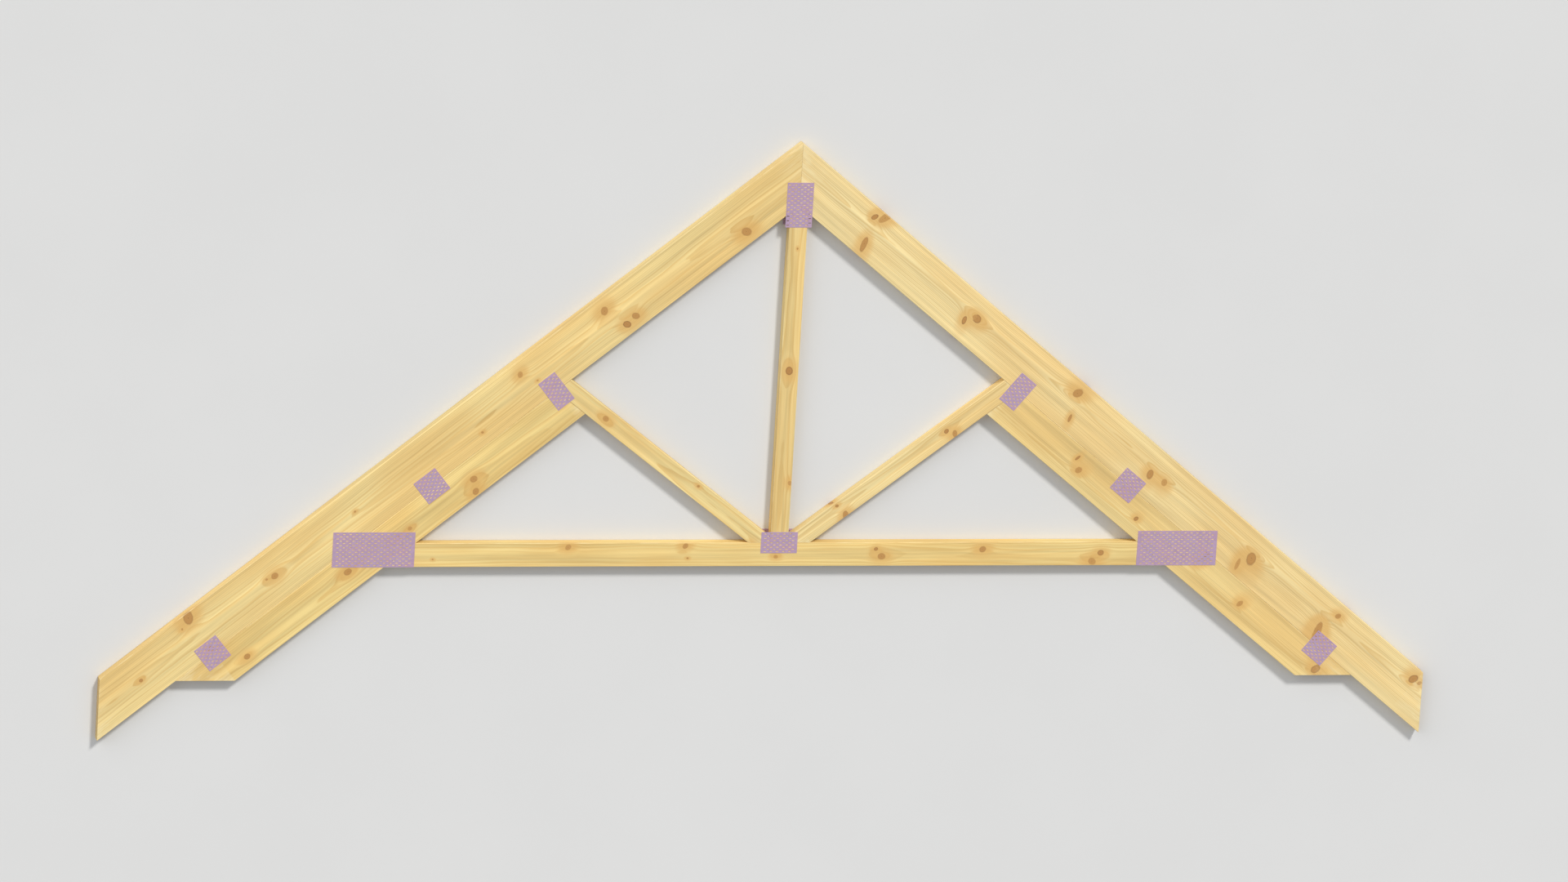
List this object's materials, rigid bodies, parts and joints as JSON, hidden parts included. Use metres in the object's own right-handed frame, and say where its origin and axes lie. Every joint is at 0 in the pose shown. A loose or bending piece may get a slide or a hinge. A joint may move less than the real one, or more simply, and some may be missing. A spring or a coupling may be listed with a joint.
{
  "type": "roof truss",
  "caption": "Raised-tie softwood roof truss with king post, struts and rafters stiffened along their undersides, joined by pressed steel nail plates; carries a pitched roof between walls.",
  "frame": {"origin": "centre of the truss's bounding box in plan, on the floor that it lies on", "axes": "+X along the span, +Y in the plane of the truss from the eaves towards the apex, +Z through its thickness, out of its front face"},
  "size_m": [5.35, 2.417, 0.049],
  "materials": {
    "timber": "planed softwood, untreated, pale yellow with brown knots",
    "nail_plate": "galvanised sheet with a lilac cast, punched with rows of slots"
  },
  "bodies": {
    "root": {"rafter_left": "timber", "rafter_right": "timber", "under_rafter_left": "timber", "under_rafter_right": "timber", "raised_tie": "timber", "king_post": "timber", "strut_left": "timber", "strut_right": "timber", "apex_plate_front": "nail_plate", "apex_plate_back": "nail_plate", "tie_mid_plate_front": "nail_plate", "tie_mid_plate_back": "nail_plate", "tie_end_plate_left_front": "nail_plate", "tie_end_plate_left_back": "nail_plate", "tie_end_plate_right_front": "nail_plate", "tie_end_plate_right_back": "nail_plate", "strut_plate_left_front": "nail_plate", "strut_plate_left_back": "nail_plate", "strut_plate_right_front": "nail_plate", "strut_plate_right_back": "nail_plate", "stitch_plate_mid_left_front": "nail_plate", "stitch_plate_mid_left_back": "nail_plate", "stitch_plate_mid_right_front": "nail_plate", "stitch_plate_mid_right_back": "nail_plate", "stitch_plate_foot_left_front": "nail_plate", "stitch_plate_foot_left_back": "nail_plate", "stitch_plate_foot_right_front": "nail_plate", "stitch_plate_foot_right_back": "nail_plate"}
  },
  "joints": []
}
